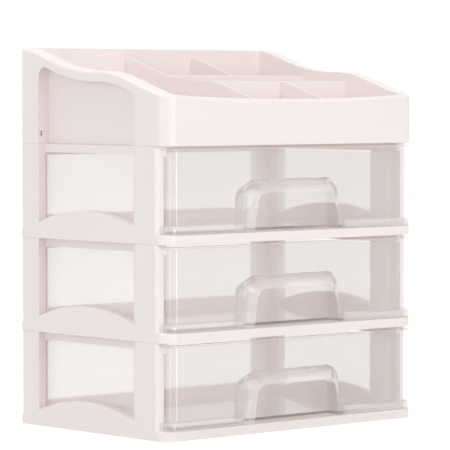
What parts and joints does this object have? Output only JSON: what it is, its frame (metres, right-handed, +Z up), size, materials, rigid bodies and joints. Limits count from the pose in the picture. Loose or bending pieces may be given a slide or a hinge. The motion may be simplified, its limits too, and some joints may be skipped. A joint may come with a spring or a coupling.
{
  "type": "makeup box",
  "caption": "Desktop makeup box of stacked open-sided frames with clear sliding drawers under a divided open tray.",
  "frame": {"origin": "bottom centre of the whole box, on the surface that it stands on", "axes": "+Z up, -Y out of the front where the drawers open, +X to the right seen from the front"},
  "size_m": [0.2866, 0.1926, 0.3214],
  "materials": {
    "pale_plastic": "opaque pale pinkish white moulded plastic, satin",
    "clear_plastic": "clear moulded plastic, glossy"
  },
  "bodies": {
    "cabinet": {"frame_lower": "pale_plastic", "frame_middle": "pale_plastic", "frame_upper": "pale_plastic", "top_tray": "pale_plastic"},
    "lower_drawer": {"drawer_lower": "clear_plastic"},
    "middle_drawer": {"drawer_middle": "clear_plastic"},
    "upper_drawer": {"drawer_upper": "clear_plastic"}
  },
  "joints": [
    {"name": "lower_drawer_slide", "type": "slide", "parent": "cabinet", "child": "lower_drawer", "axis": [0, -1, 0], "range_m": [0, 0.13]},
    {"name": "middle_drawer_slide", "type": "slide", "parent": "cabinet", "child": "middle_drawer", "axis": [0, -1, 0], "range_m": [0, 0.13]},
    {"name": "upper_drawer_slide", "type": "slide", "parent": "cabinet", "child": "upper_drawer", "axis": [0, -1, 0], "range_m": [0, 0.13]}
  ]
}
